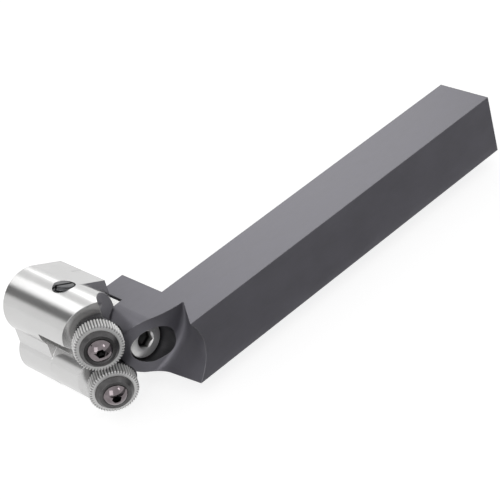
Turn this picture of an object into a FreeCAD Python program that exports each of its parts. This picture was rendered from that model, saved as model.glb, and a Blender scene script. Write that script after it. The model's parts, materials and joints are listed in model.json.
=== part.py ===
"""Two-wheel cut-knurling tool with a 12 mm square shank.

Frame, in millimetres: X runs along the shank towards its rear end, Y runs
across it towards the head, +Z is up. The origin is the middle of the shank's
bottom face, 45 mm behind its head-end corner. The shapes are drawn from that
lower front corner and moved to the origin as they are written. The bar being
knurled turns about a line parallel to Y in front of the head, on its -X side.
"""
import FreeCAD, Part
import os
from math import cos, hypot, pi, radians, sin, sqrt, tan

V = FreeCAD.Vector
X_AXIS, Y_AXIS, Z_AXIS = V(1, 0, 0), V(0, 1, 0), V(0, 0, 1)

# ---------------------------------------------------------------- clearances
running_fit = 0.03        # radial play of a shaft that turns in its bore
thread_fit = 0.03         # radial play drawn between a screw and its thread
swivel_gap = 0.30         # air between the head and the arm that it swivels in
face_gap = 0.05           # play between flat faces that slide on each other
through = 1.0             # how far a cutter runs past the face that it breaks

# ------------------------------------------------------------------- shank
shank_side = 12.0         # square section
shank_length = 81.7
origin_x = 45.0           # the frame's origin is this far behind the corner
shank_chamfer = 0.35
arm_reach = 23.0          # arm that carries the head, measured along Y
arm_back_x = 5.5          # rear face of the arm
pivot_x = -1.0            # swivel axis of the head, parallel to Y
mate_y = 17.0             # face of the arm that the head is clamped against
rebate_x = 0.3            # side wall of the arm's rebate behind that face
pivot_z = shank_side / 2
nose_radius = shank_side / 2

# scooped front of the arm: its plan at the bottom, middle and top of the shank
scoop_start_x = (0.0, 3.1, 1.5)       # where it leaves the front face
scoop_valley_x = (-1.0, 4.3, 5.5)     # where it turns towards the screw hole
scoop_valley_y = (9.9, 7.5, 6.2)
scoop_blend = (2.6, 2.0, 0.3)         # how softly it turns there
scoop_lean = 0.20         # hole face leans back by this much per mm downwards
scoop_face_y = 9.95       # hole face at X = 0, Z = 0
scoop_face_slope = 0.416  # how fast it falls back towards the nose
scoop_face_curve = 0.034
nose_clearance = 0.4      # flat on the nose keeps this far from the lower holder

# ------------------------------------------------------------- clamp screw
clamp_d = 4.0             # M4 low head socket cap screw
clamp_head_d = 7.0
clamp_head_h = 2.8
clamp_socket = 3.0
clamp_socket_depth = 1.8
clamp_length = 12.0
clamp_hole_d = 4.3
counterbore_d = 7.5
clamp_head_y = 11.5       # outer face of the screw's head

# --------------------------------------------------------------- knurl head
head_front_x = -14.4      # both barrels touch this plane
head_side_x = rebate_x - swivel_gap
head_back_y = 33.1
head_chamfer = 0.3
upper_barrel_r = 6.2
lower_barrel_r = 4.8
lower_block_r = 5.1       # the lower barrel is thicker behind the work groove
flat_angle = 25.5         # slope of the flat on top of the head
flat_front_y = 20.1       # end face where that flat stops
shelf_z = 11.7            # level of the head in front of that end face
head_floor_z = 0.5
groove_end_y = 23.2       # work groove between the barrels ends here
groove_top_z = 12.2       # its upper lip on the front plane
groove_x = -10.6          # bottom of the groove
neck_x = -13.4            # face between the barrels behind the groove
boss_r = 3.5              # pivot boss around the clamp screw
hollow_r = 9.5            # hollow end of the head, beside the arm
hollow_x = 1.0
bore_chamfer = 0.25
tick_length = 2.2         # setting mark on the flat
tick_width = 0.18
tick_depth = 0.12
tick_y = 26.8

# ------------------------------------------------------------ knurl wheels
wheel_d = 8.9
wheel_w = 2.5
wheel_bore = 4.0
tooth_count = 50
tooth_depth = 0.26
wheel_spacing = 9.4       # between the two wheel centres
centre_z = 7.8            # height of the work axis
wheel_x = -11.1
wheel_y = 10.05
lead_angle = 30.0         # wheel axes are turned this far from the work axis
splay_angle = 9.0         # turn of each holder that opens the clearance

# ---------------------------------------------------- holders and bearings
holder_d = 6.4
holder_x = -9.4
holder_end_y = 29.0
holder_clear = 0.4        # air behind the end of a holder
holder_chamfer = 0.4
facet_offset = 3.3        # front facet of the barrels, behind the wheel centres
clamp_groove_w = 4.6
clamp_groove_depth = 0.4
bush_d = wheel_bore - 2 * running_fit
wheel_play = 0.05         # axial, on each side of a wheel
rear_washer_d = 6.4
rear_washer_t = 0.35
cap_d = 6.9
cap_front_d = 5.8
cap_t = 1.0
cap_rim = 0.25
wheel_screw_d = 2.5
wheel_screw_head_d = 4.3
wheel_screw_head_h = 1.25
wheel_screw_socket = 1.5
wheel_screw_socket_depth = 0.8
wheel_screw_bite = 4.2    # length in the holder

# -------------------------------------------------------------- set screws
set_screw_d = 4.0
set_screw_y = 21.6
set_screw_x = -7.0        # where the upper one's axis crosses its own top
set_screw_top = 18.87
set_screw_slot_w = 0.6
set_screw_slot_depth = 1.0
set_screw_chamfer = 0.25
set_screw_turn = -2.0     # where the slot happens to point, in degrees
lower_screw_stand = 0.9   # how far the lower one stands out of its barrel
pad_d = 3.6
pad_t = 0.8

# ------------------------------------------------------------ derived places
upper_z = centre_z + wheel_spacing / 2
lower_z = centre_z - wheel_spacing / 2
upper_barrel_x = head_front_x + upper_barrel_r
lower_barrel_x = head_front_x + lower_barrel_r
lower_block_x = head_front_x + lower_block_r
head_mate_y = mate_y + face_gap
facet_normal = V(-sin(radians(lead_angle)), -cos(radians(lead_angle)), 0)
flat_normal = V(sin(radians(flat_angle)), 0, cos(radians(flat_angle)))
boss_recess_r = boss_r + swivel_gap
nose_pocket_r = nose_radius + swivel_gap


# ------------------------------------------------------------------- helpers
def cylinder(radius, start, end):
    """Cylinder between two points."""
    axis = end.sub(start)
    return Part.makeCylinder(radius, axis.Length, start, axis)


def along_y(radius, x, z, y0, y1):
    return cylinder(radius, V(x, y0, z), V(x, y1, z))


def prism_y(points, y0, y1):
    """Extrude an XZ outline along Y."""
    ring = [V(x, y0, z) for x, z in points]
    face = Part.Face(Part.makePolygon(ring + ring[:1]))
    return face.extrude(V(0, y1 - y0, 0))


def revolve_z(outline):
    """Turn an (r, z) outline about the local Z axis."""
    ring = [V(r, 0, z) for r, z in outline]
    face = Part.Face(Part.makePolygon(ring + ring[:1]))
    return face.revolve(V(0, 0, 0), Z_AXIS, 360)


def hexagon(across_flats, z0, z1):
    corner = across_flats / sqrt(3)
    ring = [V(corner * cos(radians(60 * i + 30)), corner * sin(radians(60 * i + 30)), z0)
            for i in range(7)]
    return Part.Face(Part.makePolygon(ring)).extrude(V(0, 0, z1 - z0))


def half_space(point, normal, size=80.0):
    """Large block that lies on the side of a plane that its normal points to."""
    block = Part.makeBox(size, size, size, V(-size / 2, -size / 2, 0))
    block.Placement = FreeCAD.Placement(point, FreeCAD.Rotation(Z_AXIS, normal))
    return block


def placed(shape, origin, axis):
    """Put a shape made about local Z at an origin, with its Z along an axis."""
    moved = shape.copy()
    moved.Placement = FreeCAD.Placement(origin, FreeCAD.Rotation(Z_AXIS, axis))
    return moved


def one_solid(shape):
    clean = shape.removeSplitter()
    return clean.Solids[0] if len(clean.Solids) == 1 else clean


# ------------------------------------------------------------- wheel stations
class Station:
    """One wheel with its axis, its holder and the barrel that carries it."""

    def __init__(self, side):
        self.side = side                      # +1 upper, -1 lower
        self.z = upper_z if side > 0 else lower_z
        self.centre = V(wheel_x, wheel_y, self.z)
        lead, splay = radians(lead_angle), radians(splay_angle)
        self.axis = V(-sin(lead) * cos(splay), -cos(lead), side * sin(lead) * sin(splay))
        self.seat = -(wheel_w / 2 + wheel_play + rear_washer_t)
        self.cap_back = wheel_w / 2 + wheel_play

    def at(self, distance):
        """Point on the wheel's axis, counted outwards from the wheel's centre."""
        return self.centre + self.axis * distance

    def place(self, shape):
        return placed(shape, self.centre, self.axis)


class SetScrew:
    """Slotted screw that clamps one holder, square to the sloping flat."""

    def __init__(self, station):
        upper = station.side > 0
        self.out = V(flat_normal.x, 0, station.side * flat_normal.z)
        mirror_z = set_screw_top if upper else 2 * centre_z - set_screw_top
        self.top = V(set_screw_x, set_screw_y, mirror_z)
        holder = V(holder_x, set_screw_y, station.z)
        arm = self.top - holder
        along = arm.dot(self.out)
        offset = (arm - self.out * along).Length
        if not upper:
            barrel = V(lower_barrel_x, set_screw_y, lower_z)
            reach = self.top - barrel
            level = reach.dot(self.out)
            side_step = (reach - self.out * level).Length
            surface = sqrt(max(lower_barrel_r ** 2 - side_step ** 2, 0.0))
            drop = level - surface - lower_screw_stand
            self.top = self.top - self.out * drop
            along -= drop
        neck_r = holder_d / 2 - clamp_groove_depth
        near = max(offset - pad_d / 2, 0.0)
        self.pad_depth = along - sqrt(neck_r ** 2 - near ** 2) - face_gap
        self.length = self.pad_depth - pad_t

    def place(self, shape):
        return placed(shape, self.top, self.out)


upper, lower = Station(+1), Station(-1)
upper_screw, lower_screw = SetScrew(upper), SetScrew(lower)


# ---------------------------------------------------------------- the shank
def scoop_face(x, z):
    """Y of the scooped hole face."""
    return scoop_face_y - scoop_face_slope * x - scoop_lean * z + scoop_face_curve * x * x


def by_height(values, z):
    """Parabola through three values at the bottom, middle and top of the shank."""
    low, mid, high = values
    t = 2 * z / shank_side - 1
    return mid + (high - low) / 2 * t + ((high + low) / 2 - mid) * t * t


def scoop_outline(z):
    """Closed plan wire of the scoop's cutter at one height."""
    start = V(by_height(scoop_start_x, z), 0, z)
    valley = V(by_height(scoop_valley_x, z), by_height(scoop_valley_y, z), z)
    tangent = max(by_height(scoop_blend, z), 0.05)
    ramp = V(valley.x - start.x, valley.y - start.y, 0).normalize()
    tip_x = pivot_x - nose_radius - 2 * through
    drift = (valley.y - scoop_face(valley.x, z)) / (valley.x - tip_x)
    slope_at = lambda x: 2 * scoop_face_curve * x - scoop_face_slope + drift
    tip = V(tip_x, scoop_face(tip_x, z), z)
    face = V(-1, -slope_at(valley.x), 0).normalize()
    half = face.getAngle(-ramp) / 2
    radius = tangent * tan(half)
    inward = (face - ramp).normalize()
    before, leave = valley - ramp * tangent, valley + face * tangent
    middle = valley + inward * (radius / sin(half) - radius)
    third = (leave.x - tip_x) / 3
    hole_side = Part.BezierCurve()
    hole_side.setPoles([leave, leave + face * (third / -face.x),
                        tip + V(third, slope_at(tip_x) * third, 0), tip])
    front_y = -2 * through
    ahead = start - ramp * ((start.y - front_y) / ramp.y)
    corner = V(tip_x, front_y, z)
    return Part.Wire([Part.makeLine(ahead, before),
                      Part.Arc(before, middle, leave).toShape(),
                      hole_side.toShape(),
                      Part.makeLine(tip, corner),
                      Part.makeLine(corner, ahead)])


def make_scoop():
    """Cutter lofted through its plan outlines, from below the arm to above it."""
    span = shank_side + 2 * through
    levels = [-through + span * k / 6 for k in range(7)]
    return Part.makeLoft([scoop_outline(z) for z in levels], True, False)


def make_shank_body():
    bar = Part.makeBox(shank_length, shank_side, shank_side)
    rear = [e for e in bar.Edges
            if all(abs(v.X - shank_length) < 1e-6 for v in e.Vertexes)]
    bar = bar.makeChamfer(shank_chamfer, rear)
    arm = Part.makeBox(arm_back_x - pivot_x, arm_reach, shank_side, V(pivot_x, 0, 0))
    nose = along_y(nose_radius, pivot_x, pivot_z, 0, arm_reach)
    body = bar.fuse([arm, nose]).removeSplitter()
    scoop = make_scoop()
    rebate = Part.makeBox(rebate_x - head_front_x, arm_reach - mate_y + through,
                          shank_side + 2 * through, V(head_front_x, mate_y, -through))
    recess = along_y(boss_recess_r, pivot_x, pivot_z, mate_y, arm_reach + through)
    hole = along_y(clamp_hole_d / 2, pivot_x, pivot_z, 0, mate_y + through)
    away = V(holder_x - pivot_x, 0, lower_z - pivot_z)
    relief = away.Length - holder_d / 2 - nose_clearance
    away.normalize()
    flat = half_space(V(pivot_x, 0, pivot_z) + away * relief, away)
    seat_y = clamp_head_y + clamp_head_h
    counterbore = along_y(counterbore_d / 2, pivot_x, pivot_z, -through, seat_y)
    return one_solid(body.cut([scoop, rebate, recess, hole, counterbore, flat]))


# ----------------------------------------------------------------- the head
def head_outline(top_z):
    """XZ outline that joins the barrels to the head's side, up to a level."""
    normal = flat_normal
    low = V(lower_barrel_x, 0, lower_z) + V(normal.x, 0, -normal.z) * lower_barrel_r
    points = [(head_side_x, top_z), (head_side_x, head_floor_z), (low.x, low.z),
              (lower_barrel_x, lower_z), (groove_x, centre_z), (upper_barrel_x, upper_z)]
    return points


def make_knurl_head():
    flat_line = flat_normal.dot(V(upper_barrel_x, 0, upper_z)) + upper_barrel_r
    crest = V(upper_barrel_x, 0, upper_z) + flat_normal * upper_barrel_r
    side_top = (flat_line - flat_normal.x * head_side_x) / flat_normal.z
    front_y = wheel_y - wheel_d
    block = prism_y(head_outline(side_top) + [(crest.x, crest.z)], flat_front_y, head_back_y)
    shelf_points = head_outline(shelf_z)[:-1] + [(upper_barrel_x, shelf_z)]
    shelf = prism_y(shelf_points, front_y, head_back_y)
    upper_barrel = along_y(upper_barrel_r, upper_barrel_x, upper_z, front_y, head_back_y)
    lower_barrel = along_y(lower_barrel_r, lower_barrel_x, lower_z, front_y, head_back_y)
    lower_block = along_y(lower_block_r, lower_block_x, lower_z, groove_end_y, head_back_y)
    neck = prism_y([(neck_x, upper_z), (upper_barrel_x, upper_z), (upper_barrel_x, lower_z),
                    (neck_x, lower_z)], groove_end_y, head_back_y)
    boss = along_y(boss_r, pivot_x, pivot_z, head_mate_y, head_back_y)

    groove = prism_y([(head_front_x - through, groove_top_z + through),
                      (head_front_x, groove_top_z), (groove_x, centre_z + 0.5),
                      (groove_x, centre_z), (head_front_x - through, centre_z - through)],
                     front_y - through, groove_end_y)
    body = shelf.fuse([block, upper_barrel]).cut(groove)
    body = body.fuse([lower_barrel, lower_block, neck, boss])

    hollow_y = head_mate_y - hollow_r
    cuts = [half_space(V(wheel_x, wheel_y, 0) - facet_normal * facet_offset, facet_normal),
            cylinder(hollow_r, V(hollow_x, hollow_y, -30), V(hollow_x, hollow_y, 40)),
            along_y(nose_pocket_r, pivot_x, pivot_z, front_y - through, head_mate_y),
            Part.makeBox(40, 40, 70, V(pivot_x, head_mate_y - 40, -30))]
    body = body.cut(cuts).removeSplitter()
    back = [e for e in body.Edges if all(abs(v.Y - head_back_y) < 1e-6 for v in e.Vertexes)]
    body = body.makeChamfer(head_chamfer, back)

    tools = [along_y(clamp_d / 2 + thread_fit, pivot_x, pivot_z, 0, clamp_tip_y() + 1.0)]
    for station, screw in ((upper, upper_screw), (lower, lower_screw)):
        bore_r = holder_d / 2 + running_fit
        tools.append(along_y(bore_r, holder_x, station.z, 0, holder_end_y + holder_clear))
        tapped = Part.makeCylinder(set_screw_d / 2 + thread_fit, screw.pad_depth + 2 * through,
                                   V(0, 0, -screw.pad_depth))
        tools.append(screw.place(tapped))
    tick = Part.makeBox(tick_length, tick_width, 2 * tick_depth,
                        V(-tick_length, -tick_width / 2, -tick_depth))
    tick.Placement = FreeCAD.Placement(V(head_side_x, tick_y, side_top),
                                       FreeCAD.Rotation(Y_AXIS, flat_angle))
    tools.append(tick)
    return one_solid(body.cut(tools))


# --------------------------------------------------------------- clamp screw
def clamp_tip_y():
    return clamp_head_y + clamp_head_h + clamp_length


def make_clamp_screw():
    """Socket head cap screw, head at local +Z, threaded shank downwards."""
    edge = 0.3
    r, head_r = clamp_d / 2, clamp_head_d / 2
    outline = [(0, -clamp_length), (r - edge, -clamp_length), (r, -clamp_length + edge),
               (r, 0), (head_r, 0), (head_r, clamp_head_h - edge),
               (head_r - edge, clamp_head_h), (0, clamp_head_h)]
    screw = revolve_z(outline)
    lead_in = Part.makeCone(0, clamp_socket / sqrt(3) + edge, clamp_socket / sqrt(3) + edge,
                            V(0, 0, clamp_head_h - clamp_socket / sqrt(3)))
    screw = screw.cut([hexagon(clamp_socket, clamp_head_h - clamp_socket_depth,
                               clamp_head_h + through), lead_in])
    return placed(screw, V(pivot_x, clamp_head_y + clamp_head_h, pivot_z), V(0, -1, 0))


# ------------------------------------------------------------ wheel stations
def make_holder(station):
    """Clamped round holder whose nose is cut square to the wheel's axis."""
    r = holder_d / 2
    seat = station.at(station.seat)
    shaft = along_y(r, holder_x, station.z, wheel_y - wheel_d, holder_end_y)
    end = [e for e in shaft.Edges if all(abs(v.Y - holder_end_y) < 1e-6 for v in e.Vertexes)]
    shaft = shaft.makeChamfer(holder_chamfer, end)
    neck = along_y(r + through, holder_x, station.z, set_screw_y - clamp_groove_w / 2,
                   set_screw_y + clamp_groove_w / 2)
    neck = neck.cut(along_y(r - clamp_groove_depth, holder_x, station.z, 0, holder_end_y))
    thread = cylinder(wheel_screw_d / 2 + thread_fit, station.at(station.seat + through),
                      station.at(station.seat - wheel_screw_bite - 0.4))
    return one_solid(shaft.cut([half_space(seat, station.axis), neck, thread]))


def make_wheel(station):
    """Knurl wheel with straight V teeth round its rim."""
    tip, root = wheel_d / 2, wheel_d / 2 - tooth_depth
    ring = []
    for i in range(tooth_count):
        for radius, step in ((tip, 0.0), (root, 0.5)):
            angle = 2 * pi * (i + step) / tooth_count
            ring.append(V(radius * cos(angle), radius * sin(angle), -wheel_w / 2))
    wheel = Part.Face(Part.makePolygon(ring + ring[:1])).extrude(V(0, 0, wheel_w))
    bore = Part.makeCylinder(wheel_bore / 2, wheel_w + 2 * through,
                             V(0, 0, -wheel_w / 2 - through))
    return station.place(wheel.cut(bore))


def make_bush(station):
    """Plain bearing bush between the rear washer and the cap."""
    inner = wheel_screw_d / 2 + thread_fit
    length = wheel_w + 2 * wheel_play
    bush = Part.makeCylinder(bush_d / 2, length, V(0, 0, -length / 2))
    return station.place(bush.cut(Part.makeCylinder(inner, length, V(0, 0, -length / 2))))


def make_rear_washer(station):
    ring = Part.makeCylinder(rear_washer_d / 2, rear_washer_t, V(0, 0, station.seat))
    return station.place(ring.cut(Part.makeCylinder(
        wheel_screw_d / 2 + thread_fit, rear_washer_t, V(0, 0, station.seat))))


def make_cap(station):
    """Bevelled cap that holds the wheel on its bush."""
    inner = wheel_screw_d / 2 + thread_fit
    back, front = station.cap_back, station.cap_back + cap_t
    return station.place(revolve_z([(inner, back), (cap_d / 2, back),
                                    (cap_d / 2, back + cap_rim),
                                    (cap_front_d / 2, front), (inner, front)]))


def make_wheel_screw(station):
    """Button head screw: domed head with a small hexagon socket."""
    r, head_r, h = wheel_screw_d / 2, wheel_screw_head_d / 2, wheel_screw_head_h
    under = station.cap_back + cap_t
    tip = station.seat - wheel_screw_bite
    dome_r = (head_r ** 2 + h ** 2) / (2 * h)
    ball = Part.makeSphere(dome_r, V(0, 0, under + h - dome_r))
    head = Part.makeCylinder(head_r, h + through, V(0, 0, under)).common(ball)
    shank = Part.makeCylinder(r, under - tip + 0.1, V(0, 0, tip))
    socket = hexagon(wheel_screw_socket, under + h - wheel_screw_socket_depth,
                     under + h + through)
    return station.place(one_solid(head.fuse(shank).cut(socket)))


# ---------------------------------------------------------------- set screws
def make_set_screw(screw):
    """Slotted grub screw, its top at local zero."""
    r, c = set_screw_d / 2, set_screw_chamfer
    body = revolve_z([(0, 0), (r - c, 0), (r, -c), (r, -screw.length + c),
                      (r - c, -screw.length), (0, -screw.length)])
    slot = Part.makeBox(set_screw_d + 2, set_screw_slot_w, set_screw_slot_depth + through,
                        V(-r - 1, -set_screw_slot_w / 2, -set_screw_slot_depth))
    slot.rotate(V(0, 0, 0), Z_AXIS, set_screw_turn)
    return screw.place(body.cut(slot))


def make_pad(screw):
    """Soft pad that keeps the set screw off the holder."""
    return screw.place(Part.makeCylinder(pad_d / 2, pad_t - 0.02,
                                         V(0, 0, -screw.length - pad_t + 0.01)))


# -------------------------------------------------------------------- export
def build():
    nodes = {"shank_body": make_shank_body(),
             "knurl_head": make_knurl_head(),
             "clamp_screw": make_clamp_screw()}
    for name, station, screw in (("upper", upper, upper_screw), ("lower", lower, lower_screw)):
        nodes[name + "_holder"] = make_holder(station)
        nodes[name + "_knurl_wheel"] = make_wheel(station)
        nodes[name + "_bearing_bush"] = make_bush(station)
        nodes[name + "_rear_washer"] = make_rear_washer(station)
        nodes[name + "_wheel_cap"] = make_cap(station)
        nodes[name + "_wheel_screw"] = make_wheel_screw(station)
        nodes[name + "_set_screw"] = make_set_screw(screw)
        nodes[name + "_pressure_pad"] = make_pad(screw)
    return nodes


os.makedirs("parts", exist_ok=True)
for node, shape in build().items():
    shape.translate(V(-origin_x, -shank_side / 2, 0))
    shape.exportStep(os.path.join("parts", node + ".step"))
    print(node, "solids", len(shape.Solids), "valid", shape.isValid(),
          "volume", round(shape.Volume, 2))
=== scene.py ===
# %% [markdown]
# # A two-wheel knurling tool
# A knurling tool presses a pattern into a turned bar. This one has a square
# steel shank that goes in the lathe's tool post, a bright swivelling head, and
# two small toothed wheels that roll on the bar. We dress its CAD model: the big
# machined blocks keep their CAD shape, and the small parts that catch the eye
# are made again as smooth surfaces. Everything is in metres.

# %% Load the frame
import json
from math import acos, cos, pi, radians, sin, sqrt

import bpy
import numpy as np
from mathutils import Matrix, Vector


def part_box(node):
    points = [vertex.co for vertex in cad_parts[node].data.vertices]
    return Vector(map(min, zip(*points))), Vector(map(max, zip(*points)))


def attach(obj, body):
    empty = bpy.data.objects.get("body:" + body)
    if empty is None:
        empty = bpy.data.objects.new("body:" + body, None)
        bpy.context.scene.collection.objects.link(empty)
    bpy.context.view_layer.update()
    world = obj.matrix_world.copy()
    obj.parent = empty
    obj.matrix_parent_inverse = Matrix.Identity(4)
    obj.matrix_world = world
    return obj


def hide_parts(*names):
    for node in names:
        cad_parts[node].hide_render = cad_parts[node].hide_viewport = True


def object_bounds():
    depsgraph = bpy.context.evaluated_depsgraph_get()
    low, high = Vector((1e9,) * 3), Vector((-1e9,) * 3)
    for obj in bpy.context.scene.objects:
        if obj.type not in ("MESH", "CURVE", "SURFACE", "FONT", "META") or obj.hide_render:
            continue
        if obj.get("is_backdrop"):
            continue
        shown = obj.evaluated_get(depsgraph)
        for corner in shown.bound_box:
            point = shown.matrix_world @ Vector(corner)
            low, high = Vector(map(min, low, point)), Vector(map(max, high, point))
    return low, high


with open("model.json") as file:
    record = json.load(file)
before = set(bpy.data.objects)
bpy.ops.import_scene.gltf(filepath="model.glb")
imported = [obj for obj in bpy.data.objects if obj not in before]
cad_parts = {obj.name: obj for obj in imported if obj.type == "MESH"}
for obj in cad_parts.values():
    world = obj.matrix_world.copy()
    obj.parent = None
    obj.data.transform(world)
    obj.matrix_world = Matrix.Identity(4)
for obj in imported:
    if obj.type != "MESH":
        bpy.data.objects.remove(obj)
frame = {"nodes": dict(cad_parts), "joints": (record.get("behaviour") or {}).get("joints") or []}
cad_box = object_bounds()
nodes = frame["nodes"]
joints = {joint["name"]: joint for joint in frame["joints"]}
mm = 0.001
print("CAD nodes:", len(nodes), "box:", [tuple(round(v, 5) for v in c) for c in cad_box])

# %% [markdown]
# ## The camera
# The tool is seen from its head end, from above and in front, through a long
# lens. A long lens keeps the far end of the shank nearly as large as the near
# end. The camera is also rolled a little, so that the shank climbs across the
# frame. We build its turn from three plain angles instead of a matrix.

# %% Camera
camera_place = Vector((-181.93, -223.33, 188.33)) * mm
camera_heading = radians(-35.44)   # turn about Z, counted from looking along +Y
camera_tilt = radians(-32.70)      # looks down by this much
camera_roll = radians(-15.90)

lens = bpy.data.cameras.new("camera")
lens.lens, lens.sensor_width = 131.887, 36.0
lens.clip_start, lens.clip_end = 0.01, 10.0
camera = bpy.data.objects.new("camera", lens)
camera.matrix_world = (Matrix.Translation(camera_place)
                       @ Matrix.Rotation(camera_heading, 4, "Z")
                       @ Matrix.Rotation(pi / 2 + camera_tilt, 4, "X")
                       @ Matrix.Rotation(camera_roll, 4, "Z"))
bpy.context.scene.collection.objects.link(camera)
bpy.context.scene.camera = camera
print("camera looks along", [round(v, 4) for v in camera.matrix_world.to_3x3() @ Vector((0, 0, -1))])

# %% [markdown]
# ## A small language for shader maths
# A material is a network of nodes, and drawing one by hand is slow to read. We
# wrap a node's output in a small class whose operators add the Math nodes, so
# that a formula such as `1 - mask * 0.3` builds its own network. Any other node
# comes from one method, which sets the node up first and then fills or links
# its sockets.

# %% Sockets and finishes
class Socket:
    """The output of a node, with operators that add Math nodes."""

    def __init__(self, finish, output):
        self.finish, self.output = finish, output

    def maths(self, operation, other):
        return self.finish.node("ShaderNodeMath", {"operation": operation}, {0: self, 1: other})

    def __add__(self, other):
        return self.maths("ADD", other)

    def __sub__(self, other):
        return self.maths("SUBTRACT", other)

    def __mul__(self, other):
        return self.maths("MULTIPLY", other)

    def __rsub__(self, other):
        return self.finish.node("ShaderNodeMath", {"operation": "SUBTRACT"}, {0: other, 1: self})

    __radd__, __rmul__ = __add__, __mul__

    def clamp(self):
        return self.finish.node("ShaderNodeClamp", {}, {"Value": self})

    def between(self, low, high):
        """Smooth step from 0 at low to 1 at high."""
        return self.finish.node("ShaderNodeMapRange", {"interpolation_type": "SMOOTHSTEP"},
                                {"Value": self, "From Min": low, "From Max": high})


class Finish:
    """One procedural material round a Principled surface."""

    def __init__(self, name, **constants):
        self.material = bpy.data.materials.new(name)
        self.material.use_nodes = True
        self.tree = self.material.node_tree
        self.tree.nodes.clear()
        self.surface = self.tree.nodes.new("ShaderNodeBsdfPrincipled")
        self.end = self.tree.nodes.new("ShaderNodeOutputMaterial")
        self.tree.links.new(self.surface.outputs[0], self.end.inputs["Surface"])
        for socket, value in constants.items():
            self.surface.inputs[socket.replace("_", " ")].default_value = value

    def node(self, kind, settings=None, sockets=None, out=0):
        """Any node: its settings come first, then its sockets get values or links."""
        made = self.tree.nodes.new(kind)
        for key, value in (settings or {}).items():
            setattr(made, key, value)
        for key, value in (sockets or {}).items():
            if isinstance(value, Socket):
                self.tree.links.new(value.output, made.inputs[key])
            else:
                made.inputs[key].default_value = value
        return Socket(self, made.outputs[out])

    def feed(self, **sockets):
        """Link what varies over the surface into the Principled node."""
        for name, value in sockets.items():
            self.tree.links.new(value.output, self.surface.inputs[name.replace("_", " ")])

    def here(self):
        """Object coordinates in metres."""
        return self.node("ShaderNodeTexCoord", out="Object")

    def along(self, vector, direction):
        """How far a vector reaches along a direction."""
        return self.node("ShaderNodeVectorMath", {"operation": "DOT_PRODUCT"},
                         {0: vector, 1: direction}, out="Value")

    def place(self, scale=(1.0, 1.0, 1.0)):
        """Object coordinates in millimetres, stretched for a pattern."""
        return self.node("ShaderNodeMapping", {"vector_type": "POINT"},
                         {"Vector": self.here(), "Scale": tuple(s / mm for s in scale)})

    def noise(self, where, scale, detail=3.0, rough=0.55):
        return self.node("ShaderNodeTexNoise", {"noise_dimensions": "3D"},
                         {"Vector": where, "Scale": scale, "Detail": detail, "Roughness": rough})

    def mix(self, factor, first, second):
        """Mix two colours, which are inputs 6 and 7 of the Mix node and its output 2."""
        return self.node("ShaderNodeMix", {"data_type": "RGBA"},
                         {"Factor": factor, 6: first, 7: second}, out=2)

    def bump(self, height, strength, distance, normal):
        return self.node("ShaderNodeBump", {}, {"Height": height, "Strength": strength,
                                                "Distance": distance, "Normal": normal})

    def rounded(self, radius):
        """Normal of the surface as if its edges were rounded by a radius."""
        return self.node("ShaderNodeBevel", {"samples": 8}, {"Radius": radius})

    def sees_background(self):
        """1 for the rays that show the background: camera, glossy and transmission rays."""
        camera, glossy, through = (
            self.node("ShaderNodeLightPath", out=question)
            for question in ("Is Camera Ray", "Is Glossy Ray", "Is Transmission Ray"))
        return (camera + glossy + through).clamp()

    def recess_shade(self):
        """The piece's own painted shade attribute: 0 in the open, 1 deep in a socket or between two
        teeth.
        """
        return self.node("ShaderNodeAttribute", {"attribute_name": "recess_shade"}, out="Fac")

    def edge_highlight_mask(self, round_normal, low=0.004, high=0.10):
        """1 near sharp edges, where a painted highlight goes: where the rounded normal leaves the
        true one.
        """
        true_normal = self.node("ShaderNodeNewGeometry", out="Normal")
        return (1.0 - self.along(round_normal, true_normal)).between(low, high)


def grey(level, warm=0.0):
    """A neutral colour, or a slightly warm or cool one."""
    return (level * (1 + warm), level, level * (1 - warm), 1.0)


def times(colour, factor):
    """A colour made lighter or darker, with its alpha left at 1."""
    return tuple(min(1.0, factor * c) for c in colour[:3]) + (1.0,)


print("shader helpers ready")

# %% [markdown]
# ## Blackened ground steel for the shank
# The shank is ground square and then blackened in a hot salt bath. The result
# is a dark grey with a slight violet cast, dull rather than glossy, with fine
# straight grinding marks along the bar. A Bevel node gives us both: a softened
# edge, and a mask of where the edges are, which we lighten as a painted edge
# highlight. Inside the deep screw hole we paint shade: we measure the distance
# from its axis and keep it nearly black there.

# %% Shank finish
bore_axis = Vector(joints["head_swivel"]["pos_m"])
bore_radius = 3.75 * mm
# colour of the painted highlight on the shank's sharp edges
edge_highlight_colour = (0.46, 0.455, 0.47, 1.0)


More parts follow.
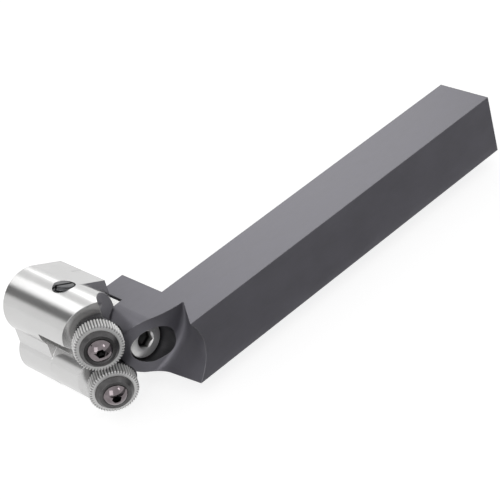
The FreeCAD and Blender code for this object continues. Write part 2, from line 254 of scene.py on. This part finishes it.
def blackened_steel(name, dark, light, roughness, edge=0.16 * mm):
    """Grinding marks run along X. Sharp edges get a painted highlight, and the bore gets painted
    shade whose mask turns on at its wall.
    """
    made = Finish(name, Metallic=0.30)
    marks = made.noise(made.place((0.035, 1.0, 1.0)), 9.0, 4.0, 0.6)
    cloud = made.noise(made.place((0.10, 0.16, 0.16)), 1.0, 4.0, 0.6)
    fine = made.noise(made.place(), 14.0, 2.0)
    soft = made.rounded(edge)
    lit_edges = made.edge_highlight_mask(soft)
    tone = made.mix(cloud.between(0.30, 0.72), dark, light)
    tone = made.mix((marks.between(0.35, 0.75) * 0.35).clamp(), tone, times(light, 1.10))
    # painted highlight: the sharp edges are lightened
    tone = made.mix(lit_edges * 0.45, tone, edge_highlight_colour)
    across_bore = made.node("ShaderNodeVectorMath", {"operation": "MULTIPLY"},
                            {0: made.here(), 1: (1.0, 0.0, 1.0)})
    from_axis = made.node("ShaderNodeVectorMath", {"operation": "DISTANCE"},
                          {0: across_bore, 1: (bore_axis.x, 0.0, bore_axis.z)}, out="Value")
    # painted shade: inside the bore, the wall and floor turn nearly black
    deep = 1 - from_axis.between(bore_radius - 0.02 * mm, bore_radius + 0.06 * mm)
    tone = made.mix(deep * 0.85, tone, grey(0.012))
    rough = roughness + (cloud - 0.5) * 0.12 + (fine - 0.5) * 0.08 - lit_edges * 0.10
    height = marks * 0.7 + fine * 0.3
    made.feed(Base_Color=tone, Roughness=rough.clamp(),
              Normal=made.bump(height, 0.10, 0.02 * mm, soft))
    return made.material


shank_steel = blackened_steel("blackened ground steel", (0.152, 0.148, 0.169, 1.0),
                              (0.172, 0.168, 0.193, 1.0), 0.36)
print("made", shank_steel.name)

# %% [markdown]
# ## Satin steel for the head
# The head is bright: it is turned and milled, then left bare. Its barrels show
# long soft reflections along their length. The grain is far finer than the
# reflections, so a low bump and a small spread of roughness are enough. Noise
# stretched along Y gives streaks that run along the barrels. The same function
# makes the wheels, the bearings and the zinc coat, with an even grain. Sharp
# edges get a painted highlight, a lighter colour. Deep between the teeth or in a
# socket, a per-point attribute paints shade that turns the colour dark.

# %% Head finish
def satin_steel(name, level, roughness, stretch=(1.0, 0.05, 1.0), grain=0.06, edge=0.12 * mm,
                metal=1.0):
    """Bright metal with cutter streaks. The stretch says which way they run, if any."""
    made = Finish(name, Metallic=metal)
    streaks = made.noise(made.place(stretch), 11.0, 3.0, 0.6)
    cloud = made.noise(made.place((0.18, 0.10, 0.18)), 1.0, 3.0)
    pores = made.noise(made.place(), 22.0, 2.0)
    soft = made.rounded(edge)
    lit_edges = made.edge_highlight_mask(soft)
    tone = made.mix(cloud.between(0.25, 0.75), grey(level * 0.94, 0.006), grey(level, 0.004))
    tone = made.mix(streaks.between(0.40, 0.80) * 0.25, tone, grey(level * 0.86, 0.004))
    # painted highlight: the sharp edges are lightened
    tone = made.mix(lit_edges * 0.5, tone, grey(min(0.92, level * 1.15)))
    # painted shade between the teeth and in sockets
    tone = made.mix(made.recess_shade(), tone, grey(0.03))
    rough = roughness + (streaks - 0.5) * 0.10 + (cloud - 0.5) * 0.06 + (pores - 0.5) * 0.05
    made.feed(Base_Color=tone, Roughness=rough.clamp(),
              Normal=made.bump(streaks * 0.6 + pores * 0.4, grain, 0.02 * mm, soft))
    return made.material


even = (1.0, 1.0, 1.0)
head_steel = satin_steel("satin machined steel", 0.61, 0.24)
wheel_steel = satin_steel("ground wheel steel", 0.85, 0.50, even, 0.08, 0.03 * mm, 0.45)
bearing_steel = satin_steel("lapped bearing steel", 0.55, 0.22, even, 0.04, 0.03 * mm)
zinc_steel = satin_steel("zinc plated steel", 0.88, 0.34, even, 0.05, 0.05 * mm, 0.55)
print("made", head_steel.name, "and three of its kind")

# %% [markdown]
# ## Dark small parts
# The holders, caps and grub screws are blackened too, and are darker than the
# shank. The domed screws are polished first, so the black comes out glossy,
# with a faint reddish cast. The brass pads are out of sight, and are the bright
# finish again in a duller tone.

# %% Finishes of the small parts
def dark_turned(name, colour, roughness, metal=0.8, edge_highlight_level=0.16, edge=0.06 * mm):
    """Blackened metal. Its edges get a painted highlight as bright as the given level."""
    made = Finish(name, Metallic=metal)
    cloud = made.noise(made.place(), 0.9, 3.0)
    fine = made.noise(made.place(), 16.0, 3.0, 0.6)
    soft = made.rounded(edge)
    lit_edges = made.edge_highlight_mask(soft)
    edge_highlight_tone = (edge_highlight_level, edge_highlight_level * 0.98, edge_highlight_level * 0.97, 1.0)
    tone = made.mix(cloud.between(0.30, 0.75), colour, times(colour, 1.35))
    # painted highlight: the edges are lightened to the given level
    tone = made.mix(lit_edges * 0.6, tone, edge_highlight_tone)
    # painted shade in sockets
    tone = made.mix(made.recess_shade(), tone, grey(0.008))
    rough = roughness + (cloud - 0.5) * 0.10 + (fine - 0.5) * 0.08
    made.feed(Base_Color=tone, Roughness=rough.clamp(),
              Normal=made.bump(fine, 0.06, 0.01 * mm, soft))
    return made.material


holder_black = dark_turned("blackened holder steel", (0.070, 0.070, 0.074, 1.0), 0.38)
cap_black = dark_turned("blackened cap steel", (0.085, 0.083, 0.084, 1.0), 0.36, edge_highlight_level=0.30)
grub_black = dark_turned("blackened screw steel", (0.075, 0.076, 0.080, 1.0), 0.34, edge_highlight_level=0.22)
dome_black = dark_turned("polished black steel", (0.170, 0.148, 0.156, 1.0), 0.10, 0.95, 0.35,
                         0.03 * mm)
pad_brass = satin_steel("plain brass", 0.5, 0.35, even, 0.05, 0.04 * mm)
print("made", holder_black.name, cap_black.name, grub_black.name, dome_black.name, pad_brass.name)

# %% [markdown]
# ## Surfaces from rings
# Every small part here is a stack of rings. We work out all the rings at once
# as one array of points, join each ring to the next with four-sided faces, and
# close both ends with a fan. Where the part has a hole through it, the last
# ring joins the first instead, and no fan is needed.

# %% Ring surfaces
def shell(name, rings, material, body, replaces=None, looped=False, crease=28.0,
          recess_shade=None):
    """Closed mesh through an array of rings, shaped (rings, points, 3).

    Point j of ring i is joined to its neighbours j+1 and i+1. An open stack is
    closed by a fan from the mean point of its first and last ring. The painted
    shade of each point, from 0 to 1, is kept as an attribute that darkens the colour.
    """
    count, around = rings.shape[:2]
    i = np.arange(count if looped else count - 1)[:, None]
    j = np.arange(around)[None, :]
    here, beside = i * around, ((i + 1) % count) * around
    after = (j + 1) % around
    faces = np.stack(np.broadcast_arrays(here + j, here + after, beside + after, beside + j), -1)
    faces = faces.reshape(-1, 4).tolist()
    points = rings.reshape(-1, 3)
    if not looped:
        points = np.vstack([points, rings[0].mean(0), rings[-1].mean(0)])
        k, last = np.arange(around), (count - 1) * around
        turn = (k + 1) % around
        first_fan = np.stack([turn, k, np.full(around, count * around)], -1)
        last_fan = np.stack([last + k, last + turn, np.full(around, count * around + 1)], -1)
        faces += first_fan.tolist() + last_fan.tolist()
    mesh = bpy.data.meshes.new(name)
    mesh.from_pydata(points.tolist(), [], faces)
    mesh.polygons.foreach_set("use_smooth", np.ones(len(faces), bool))
    # painted shade, stored per point as an attribute
    if recess_shade is not None:
        depth = np.broadcast_to(recess_shade, (count, around)).ravel()
        if not looped:
            depth = np.concatenate([depth, [depth[0], depth[-1]]])
        store = mesh.attributes.new("recess_shade", "FLOAT", "POINT")
        store.data.foreach_set("value", depth.astype(np.float32))
    mesh.update()
    mesh.set_sharp_from_angle(angle=radians(crease))
    piece = bpy.data.objects.new(name, mesh)
    bpy.context.scene.collection.objects.link(piece)
    mesh.materials.append(material)
    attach(piece, body)
    if replaces:
        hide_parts(replaces)
    volume = signed_volume(points, faces)
    print(f"{name}: {len(faces)} faces, volume {volume * 1e9:.1f} mm3")
    return piece


def signed_volume(points, faces):
    """Sum of the tetrahedra from the origin to each face, positive when faces point outwards."""
    fans = np.array([(f[0], f[k], f[k + 1]) for f in faces for k in range(1, len(f) - 1)])
    a, b, c = (points[fans[:, k]] for k in range(3))
    return float(np.einsum("ij,ij->i", a, np.cross(b, c)).sum() / 6)


def carried(local, origin, axis):
    """Rings made about local Z, turned the short way onto an axis and moved to an origin."""
    turn = np.array(Vector((0, 0, 1)).rotation_difference(Vector(axis)).to_matrix())
    return local @ turn.T + np.array(origin)


def circle(points):
    """Angles of the points round one ring."""
    return np.linspace(0, 2 * pi, points, endpoint=False)


def rings_of(radius, height, angles):
    """Rings from radius and height arrays, shaped (rings, points) or (rings, 1)."""
    radius, height, angles = np.broadcast_arrays(radius, height, angles[None, :])
    return np.stack([radius * np.cos(angles), radius * np.sin(angles), height], -1)


def plain_rings(steps, angles):
    """Round rings from a few (radius, height) steps, or one ring with a shaped radius."""
    return np.concatenate([rings_of(np.atleast_2d(radius), np.array([[height]]), angles)
                           for radius, height in steps])


print("ring surfaces ready")

# %% [markdown]
# ## Where the wheels are
# Each wheel turns about its own slanted axis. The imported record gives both: the
# wheel's centre and the direction of its axis, which points out towards the
# domed screw. Distances along that axis are the same for both wheels.

# %% Wheel stations
wheel_r, wheel_half = 4.45 * mm, 1.25 * mm
tooth_count = 50
tooth_depth = 0.32 * mm   # the CAD model cuts 0.26 mm, and the drawn gaps have to read as dark
bore_r = 2.0 * mm
cap_back, cap_depth = 1.30 * mm, 1.0 * mm
stations = {side: (np.array(joints[side + "_wheel_spin"]["pos_m"]),
                   np.array(joints[side + "_wheel_spin"]["axis"]))
            for side in ("upper", "lower")}
for side, (centre, axis) in stations.items():
    print(side, "wheel centre", centre.round(5), "axis", (axis / np.linalg.norm(axis)).round(3))

# %% [markdown]
# ## The knurl wheels
# A knurl wheel is a hardened disc with straight V teeth round its rim. A plain
# saw-tooth outline looks like cut paper, because a real tooth has a tiny flat
# on its tip and a tiny chamfer at each end, and both catch the light. We write
# the radius as a function of the angle. On the wheel's face a tooth has a bit
# less than half its height, and a tenth of a millimetre further in all of it.

# %% Wheels
def teeth(angles):
    """Tooth height from 0 at the root to 1 at the tip.

    A triangle wave with one peak a tooth, raised a little and clipped, which
    leaves a narrow flat on each tip and a sharp root between two teeth.
    """
    phase = angles * tooth_count / (2 * pi)
    wave = 1 - 2 * np.abs(phase - np.round(phase))
    return np.clip(1.10 * wave, 0, 1)


def wheel_rings():
    """Wheel's rings, and the painted shade of each point, darkest at the root between two teeth.

    Each step of the section is a height, a smooth radius and a share of a tooth.
    """
    root = wheel_r - tooth_depth
    bore_chamfer, tooth_lead, first_share = 0.12 * mm, 0.10 * mm, 0.45
    face_r, face_root, middle = root - 0.30 * mm, root - 0.02 * mm, 0.4 * mm
    rear_half = [(-wheel_half + bore_chamfer, bore_r, 0), (-wheel_half, bore_r + bore_chamfer, 0),
                 (-wheel_half, face_r, 0), (-wheel_half, face_root, first_share),
                 (-wheel_half + tooth_lead, root, 1), (-middle, root, 1)]
    front_half = [(-height, radius, share) for height, radius, share in reversed(rear_half)]
    section = np.array(rear_half + front_half)
    angles = circle(tooth_count * 10)
    tooth = teeth(angles)[None, :]
    radius = section[:, 1:2] + section[:, 2:3] * tooth_depth * tooth
    # painted shade: darker towards the root between two teeth
    gap_shade = 0.92 * (section[:, 2:3] > 0) * (1 - tooth) ** 1.5
    return rings_of(radius, section[:, 0:1], angles), gap_shade


for side, (centre, axis) in stations.items():
    rings, gap_shade = wheel_rings()
    shell(side + "_toothed_wheel", carried(rings, centre, axis), wheel_steel,
          side + "_wheel", side + "_knurl_wheel", looped=True, recess_shade=gap_shade)

# %% [markdown]
# ## The bevelled caps
# A cap keeps each wheel on its bush. It is turned: a narrow rim, a bevel, and a
# flat ring round the screw. Fine turning marks on the flat ring are modelled as
# ripples about a hundredth of a millimetre high, which are enough to spread the
# light.

# %% Caps
def cap_rings():
    """Closed section of the cap: radius and height above its back, carried round."""
    edge, hole, front = 3.45 * mm, 1.29 * mm, cap_depth
    ripple, marks = 0.012 * mm, 14
    floor_of_seat = front - 0.06 * mm
    rim_r = [hole, edge - 0.05 * mm, edge, edge, edge - 0.04 * mm]
    rim_z = [0, 0, 0.05 * mm, 0.22 * mm, 0.28 * mm]
    face_r = np.linspace(2.86, 2.30, marks) * mm
    face_z = front - ripple * (np.arange(marks) % 2)
    radius = np.concatenate([rim_r, face_r, [2.22 * mm, hole]])
    height = np.concatenate([rim_z, face_z, [floor_of_seat, floor_of_seat]])
    return rings_of(radius[:, None], height[:, None], circle(128))


for side, (centre, axis) in stations.items():
    place = centre + axis / np.linalg.norm(axis) * cap_back
    shell(side + "_bevelled_cap", carried(cap_rings(), place, axis), cap_black,
          side + "_carrier", side + "_wheel_cap", looped=True)

# %% [markdown]
# ## Screw threads
# A thread is a ridge that climbs one pitch in each turn. In the stack of rings
# that is easy: the ridge's height depends on the distance along the screw minus
# the part of a turn that the point is round. The crests are cut flat and the
# ridge fades out near both ends.

# %% Thread
def thread_radius(height, angles, major, pitch, low, high):
    """Radius on a thread: major radius less a clipped triangle wave of height and angle."""
    phase = height / pitch - angles / (2 * pi)
    wave = 2 * np.abs(phase - np.round(phase))
    run_out = 0.4 * pitch
    fade = np.clip((height - low) / run_out, 0, 1) * np.clip((high - height) / run_out, 0, 1)
    depth = 0.50 * pitch * np.clip(1.15 * wave - 0.12, 0, 0.95)
    return major - depth * fade


def hexagon_radius(angles, across):
    """Distance from the centre to a hexagon's side: half its width over a cosine."""
    sixth = pi / 3
    return across / 2 / np.cos((angles + sixth / 2) % sixth - sixth / 2)


def socket_shade(rings, count):
    """Painted shade of a screw's rings: 1 on the last few, which line its socket, 0 elsewhere."""
    inside = np.arange(len(rings)) >= len(rings) - count
    return inside[:, None].astype(float)


corner = float(hexagon_radius(circle(12), 1.5).max())
print("hexagon corner at", round(corner, 3), "for 1.5 across")

# %% [markdown]
# ## The domed screws
# A button head screw holds each cap. Its dome is part of a sphere, and its
# hexagon socket cuts the dome in a curve that is higher in the middle of each
# side. We get that curve for free by asking the sphere for its height at the
# hexagon's own radius.

# %% Domed screws
def domed_screw_rings():
    """Rings from the tip of the thread up, round the dome, and down into the socket."""
    head_r, head_h, across, deep = 2.15 * mm, 1.22 * mm, 1.5 * mm, 0.85 * mm
    shank_r, pitch, tip, thread_end = 1.25 * mm, 0.45 * mm, -8.45 * mm, -3.2 * mm
    thread_start = tip + 0.2 * mm
    angles = circle(72)
    ball = (head_r ** 2 + head_h ** 2) / (2 * head_h)

    def dome(r):
        return head_h - ball + np.sqrt(ball ** 2 - np.minimum(r, ball) ** 2)

    along = np.arange(thread_start, -0.05 * mm, pitch / 6)[:, None]
    thread = thread_radius(along, angles[None, :], shank_r, pitch, thread_start, thread_end)
    mouth = hexagon_radius(angles, across)
    share = np.sin(np.linspace(0.02, 0.985, 18) * pi / 2)[:, None]
    radius = head_r * (1 - share) + mouth[None, :] * 1.07 * share
    lip = float(dome(across / 2))
    return np.concatenate([
        plain_rings([(0.9 * mm, tip)], angles),
        rings_of(thread, along, angles),
        plain_rings([(shank_r, 0.0), (head_r - 0.05 * mm, 0.0), (head_r, 0.04 * mm)], angles),
        rings_of(radius, dome(radius) + 0.02 * mm, angles),
        rings_of(mouth[None, :], dome(mouth)[None, :] - 0.05 * mm, angles),
        plain_rings([(mouth, lip - 0.3 * mm), (mouth, lip - deep * 0.8), (mouth, lip - deep),
                     (mouth * 0.3, lip - deep - 0.2 * mm)], angles)])


for side, (centre, axis) in stations.items():
    place = centre + axis / np.linalg.norm(axis) * (cap_back + cap_depth)
    rings = domed_screw_rings()
    shell(side + "_domed_screw", carried(rings, place, axis), dome_black, side + "_carrier",
          side + "_wheel_screw", crease=35.0, recess_shade=socket_shade(rings, 4))

# %% [markdown]
# ## The clamp screw
# This screw pins the head to the arm and sits deep in a counterbore. It has a
# low round head with a hexagon socket, and a bright zinc coat. The socket's
# mouth has a wide cone that leads the key in.

# %% Clamp screw
clamp_head_h = 2.8 * mm


def clamp_screw_rings():
    """Rings from the thread's tip up the shank, round the low head and into its socket."""
    head_r, head_h, across, deep = 3.5 * mm, clamp_head_h, 3.0 * mm, 1.8 * mm
    shank_r, pitch, tip, thread_end = 2.0 * mm, 0.7 * mm, -12.0 * mm, -2.2 * mm
    thread_start = tip + 0.35 * mm
    angles = circle(96)
    along = np.arange(thread_start, -0.1 * mm, pitch / 7)[:, None]
    thread = thread_radius(along, angles[None, :], shank_r, pitch, thread_start, thread_end)
    mouth = hexagon_radius(angles, across)
    cone, cone_top = 1.76 * mm, head_h - 0.05 * mm
    cone_foot = cone_top - (cone - mouth) * 0.9
    return np.concatenate([
        plain_rings([(1.45 * mm, tip)], angles),
        rings_of(thread, along, angles),
        plain_rings([(shank_r, 0.0), (head_r - 0.1 * mm, 0.0), (head_r, 0.1 * mm),
                     (head_r, head_h - 0.3 * mm), (head_r - 0.12 * mm, head_h - 0.1 * mm),
                     (head_r - 0.35 * mm, head_h), (cone + 0.05 * mm, head_h),
                     (np.maximum(mouth, cone), cone_top)], angles),
        rings_of(mouth[None, :], cone_foot[None, :], angles),
        plain_rings([(mouth, head_h - deep * 0.7), (mouth, head_h - deep),
                     (mouth * 0.3, head_h - deep - 0.35 * mm)], angles)])


pivot = np.array(joints["head_swivel"]["pos_m"])
screw_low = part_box("clamp_screw")[0]
seat = np.array([pivot[0], screw_low.y + clamp_head_h, pivot[2]])
rings = clamp_screw_rings()
shell("low_head_clamp_screw", carried(rings, seat, (0, -1, 0)), zinc_steel, "head",
      "clamp_screw", crease=24.0, recess_shade=socket_shade(rings, 3))

# %% [markdown]
# ## The slotted grub screws
# A grub screw presses on each holder through a brass pad. Its top is two half
# discs with a slot between them, so a stack of full rings can't make it. We
# make three closed stacks and join them: the threaded body up to the bottom of
# the slot, and two D-shaped halves that stand on it.

# %% Grub screws
grub_r, grub_pitch, slot_half, slot_deep = 1.99 * mm, 0.7 * mm, 0.3 * mm, 1.0 * mm
grub_tip = 0.3 * mm       # height of the chamfer at the tip
flat_slope = radians(25.5)   # the screws stand square on the head's flats, this far from upright
beyond = 1.0              # a height past any end, so that the thread doesn't fade there


def grub_body(length):
    """Threaded round body, from its chamfered tip up to the bottom of the slot."""
    angles = circle(72)
    along = np.arange(-length + grub_tip, -slot_deep, grub_pitch / 10)[:, None]
    thread = thread_radius(along, angles[None, :], grub_r, grub_pitch, -length + grub_tip, beyond)
    last = thread_radius(-slot_deep, angles, grub_r, grub_pitch, -length, beyond)
    return np.concatenate([plain_rings([(grub_r - grub_tip, -length)], angles),
                           rings_of(thread, along, angles),
                           plain_rings([(last, -slot_deep)], angles)])


def grub_half(sign):
    """Half disc beside the slot: an arc on the thread and a chord along the slot."""
    spread = acos(slot_half / grub_r) * 0.998
    arc = pi / 2 + np.linspace(-spread, spread, 40)
    chord = np.linspace(-1, 1, 14)[1:-1]
    half_width = sqrt(grub_r ** 2 - slot_half ** 2) * 0.985
    steps = np.array([(-slot_deep / mm - 0.01, 0), (-0.84, 0), (-0.70, 0), (-0.56, 0), (-0.42, 0),
                      (-0.30, 0.02), (-0.16, 0.10), (-0.06, 0.20), (-0.02, 0.25), (0, 0.30)]) * mm
    heights, cut = steps[:, 0:1], steps[:, 1:2]
    thread_end = -0.12 * mm
    radius = thread_radius(heights, arc[None, :], grub_r, grub_pitch, -beyond, thread_end) - cut
    chord_x = chord * half_width * (radius[:, :1] / grub_r)
    x = np.concatenate([radius * np.cos(arc), chord_x], 1)
    y = np.concatenate([np.maximum(radius * np.sin(arc), slot_half),
                        np.full(chord_x.shape, slot_half)], 1)
    half = np.stack([x, y, np.broadcast_to(heights, x.shape)], -1)
    return half if sign > 0 else half * np.array([-1, -1, 1])


for side, up in (("upper", 1.0), ("lower", -1.0)):
    low, high = (np.array(corner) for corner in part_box(side + "_set_screw"))
    out = np.array([sin(flat_slope), 0.0, up * cos(flat_slope)])
    middle = (low + high) / 2
    rise = (high - low)[2] - 2 * grub_r * sin(flat_slope)
    length = rise / cos(flat_slope)
    top = middle + out * length / 2
    parts = [grub_body(length), grub_half(+1), grub_half(-1)]
    made = [shell(f"{side}_grub_{word}", carried(part, top, out), grub_black, "head",
                  side + "_set_screw" if word == "body" else None)
            for word, part in zip(("body", "half_near", "half_far"), parts)]
    print(side, "grub screw length", round(length / mm, 2), "mm")

# %% [markdown]
# ## Finishes of the carried-over nodes
# The shank, the head, the holders, the bushes, the washers and the pads keep
# their CAD shape. Each gets its finish in its own material slot. Their edges
# are sharp in the model, and the Bevel node in each finish rounds them in the
# light only.

# %% Dress the CAD nodes
def dress(node, material):
    slots = nodes[node].data.materials
    slots.clear()
    slots.append(material)


dress("shank_body", shank_steel)
dress("knurl_head", head_steel)
dress("clamp_screw", zinc_steel)
for side in ("upper", "lower"):
    dress(side + "_holder", holder_black)
    dress(side + "_bearing_bush", bearing_steel)
    dress(side + "_rear_washer", bearing_steel)
    dress(side + "_pressure_pad", pad_brass)
    dress(side + "_knurl_wheel", wheel_steel)
    dress(side + "_wheel_cap", cap_black)
    dress(side + "_wheel_screw", dome_black)
    dress(side + "_set_screw", grub_black)
print("dressed", len(nodes), "nodes")

# %% [markdown]
# ## The floor
# The tool lies on a pale seamless floor. The camera, reflections and rays
# through glass all see it almost white, with only a soft trace of the tool's
# shadow, so that the outline reads clearly. The light that the floor sends back
# up to the tool comes from a greyer paper: dark before the head, lighter along
# the shank, and pale with a faint glow behind the tool.

# %% Floor
white = (1.0, 1.0, 1.0, 1.0)
dark_until, light_from = -62 * mm, -30 * mm   # along the shank
front_until, back_from = 0.0, 90 * mm         # from front to back


def flat_card(name, corners, material, camera_sees=True):
    mesh = bpy.data.meshes.new(name)
    mesh.from_pydata([tuple(c) for c in corners], [], [(0, 1, 2, 3)])
    mesh.materials.append(material)
    card = bpy.data.objects.new(name, mesh)
    card.visible_camera = camera_sees
    bpy.context.scene.collection.objects.link(card)
    card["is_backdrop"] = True
    return card


def matt(paper, colour):
    return paper.node("ShaderNodeBsdfDiffuse", {}, {"Color": colour})


def glowing(paper, level, strength):
    """A matt grey that also gives off white light of its own."""
    light = paper.node("ShaderNodeEmission", {}, {"Color": white, "Strength": strength})
    return paper.node("ShaderNodeAddShader", {}, {0: matt(paper, grey(level)), 1: light})


floor_paper = Finish("floor paper")
here = floor_paper.here()
east_part = floor_paper.along(here, (1.0, 0.0, 0.0))
north_part = floor_paper.along(here, (0.0, 1.0, 0.0))
front_tone = floor_paper.mix(east_part.between(dark_until, light_from), grey(0.16), grey(0.60))
paper = floor_paper.node("ShaderNodeMixShader", {},
                         {0: north_part.between(front_until, back_from),
                          1: matt(floor_paper, front_tone), 2: glowing(floor_paper, 0.88, 0.46)})
both = floor_paper.node("ShaderNodeMixShader", {},
                        {0: floor_paper.sees_background(), 1: paper,
                         2: glowing(floor_paper, 0.42, 0.80)})
floor_paper.tree.links.new(both.output, floor_paper.end.inputs["Surface"])
floor_paper.tree.nodes.remove(floor_paper.surface)

floor_z, reach = cad_box[0].z - 0.05 * mm, 3.0
flat_card("floor", [(-reach, -reach, floor_z), (reach, -reach, floor_z),
                    (reach, reach, floor_z), (-reach, reach, floor_z)], floor_paper.material)
print("floor at", round(floor_z / mm, 2), "mm")

# %% [markdown]
# ## Cards
# Bright metal shows its surroundings more than itself, and a head that mirrors
# only white looks flat. A photographer sets grey cards beside it. Here two lie
# on the floor before the tool, and one stands over the barrels. Only
# reflections show them. The camera doesn't, they cast no shadow, and they take
# no part in the diffuse light.

# %% Cards
def studio_card(name, corners, tone):
    """A matt grey card that only reflections show."""
    face = Finish(name, Base_Color=grey(tone), Roughness=1.0, Specular_IOR_Level=0.0)
    card = flat_card(name, corners, face.material, camera_sees=False)
    card.visible_diffuse = card.visible_shadow = False


def middle_of(node):
    low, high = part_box(node)
    return (low + high) / 2


card_z = floor_z + 0.3 * mm
near, far = -140 * mm, -9 * mm
west_end, meeting, east_end = -160 * mm, -48 * mm, 120 * mm
for name, west, east, tone in (("dark card before the head", west_end, meeting, 0.14),
                               ("grey card before the shank", meeting, east_end, 0.50)):
    studio_card(name, [(west, near, card_z), (east, near, card_z),
                       (east, far, card_z), (west, far, card_z)], tone)

head_middle = middle_of("knurl_head")
to_card = Vector((-0.48, 0.69, 0.54)).normalized()
card_middle = head_middle + 0.30 * to_card
half_rise = Vector((0.72, 0.0, 0.70)).normalized() * 0.055
half_length = to_card.cross(half_rise).normalized() * 0.20
studio_card("grey card over the barrels",
            [card_middle - half_rise - half_length, card_middle + half_rise - half_length,
             card_middle + half_rise + half_length, card_middle - half_rise + half_length], 0.30)

# %% [markdown]
# ## Light
# Four soft lamps light the tool: one high behind it, which the barrels and top
# faces reflect, one at the left, a narrow one in front, and one behind the
# shank. The camera, reflections and rays through glass see a plain white room.
# The room's own light, which falls on matt faces, is uneven: a pale back wall, a
# dimmer front, a darker band at the left and a mid grey ceiling.

# %% World and lamps
def area_lamp(name, place, aim, size, watts):
    data = bpy.data.lights.new(name, "AREA")
    data.shape, data.size, data.size_y = "RECTANGLE", size[0], size[1]
    data.energy = watts
    lamp = bpy.data.objects.new(name, data)
    way = aim - Vector(place)
    lamp.matrix_world = Matrix.Translation(place) @ way.to_track_quat("-Z", "Y").to_matrix().to_4x4()
    bpy.context.scene.collection.objects.link(lamp)


area_lamp("overhead softbox", (-0.09, 0.42, 0.45), head_middle, (0.24, 0.16), 0.16)
area_lamp("left softbox", (-0.53, -0.26, 0.25), head_middle, (0.30, 0.40), 0.80)
area_lamp("front glint", (0.12, -0.50, 0.30), head_middle, (0.12, 0.20), 0.26)

shank_middle = middle_of("shank_body")
area_lamp("softbox behind the shank", shank_middle + Vector((0.216, 0.264, 0.22)), shank_middle,
          (0.16, 0.16), 0.13)


class Room(Finish):
    """The same helpers on the world's node tree."""

    def __init__(self, tree):
        self.tree = tree
        tree.nodes.clear()
        self.end = tree.nodes.new("ShaderNodeOutputWorld")

    def background(self, strength):
        return self.node("ShaderNodeBackground", {}, {"Strength": strength, "Color": white})


world = bpy.data.worlds.new("studio")
bpy.context.scene.world = world
world.use_nodes = True
room = Room(world.node_tree)
way = room.node("ShaderNodeTexCoord", out="Generated")
east_part, north_part, up_part = (room.node("ShaderNodeSeparateXYZ", {}, {"Vector": way}, out=axis)
                                  for axis in "XYZ")
wall = 0.24 + north_part.between(-0.25, 0.50) * 0.64
left = 1 - east_part.between(-0.30, 0.10)
band = (up_part.between(0.12, 0.42) - up_part.between(0.55, 0.64)) * left
fade = up_part.between(0.20, 0.45) * (1 - left)
ceiling = up_part.between(0.66, 0.76)
level = wall * (1 - band * 0.72) * (1 - fade * 0.42) * (1 - ceiling) + ceiling * 0.62
sky = room.node("ShaderNodeMixShader", {}, {0: room.sees_background(), 1: room.background(level),
                                            2: room.background(1.0)})
room.tree.links.new(sky.output, room.end.inputs["Surface"])
bpy.context.scene.view_settings.view_transform = "Standard"
print("lamps:", len(bpy.data.lights))

# %% [markdown]
# ## Measure and finish
# The dressed tool has to fill the same box as its CAD model. We print the CAD
# box first, and here how far each side of the dressed box lies from it.

# %% Sizes and the last line
dressed_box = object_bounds()
growth = [(dressed - cad) / mm for k in (0, 1) for dressed, cad in zip(dressed_box[k], cad_box[k])]
print("grown by, mm:", [round(g, 3) for g in growth])
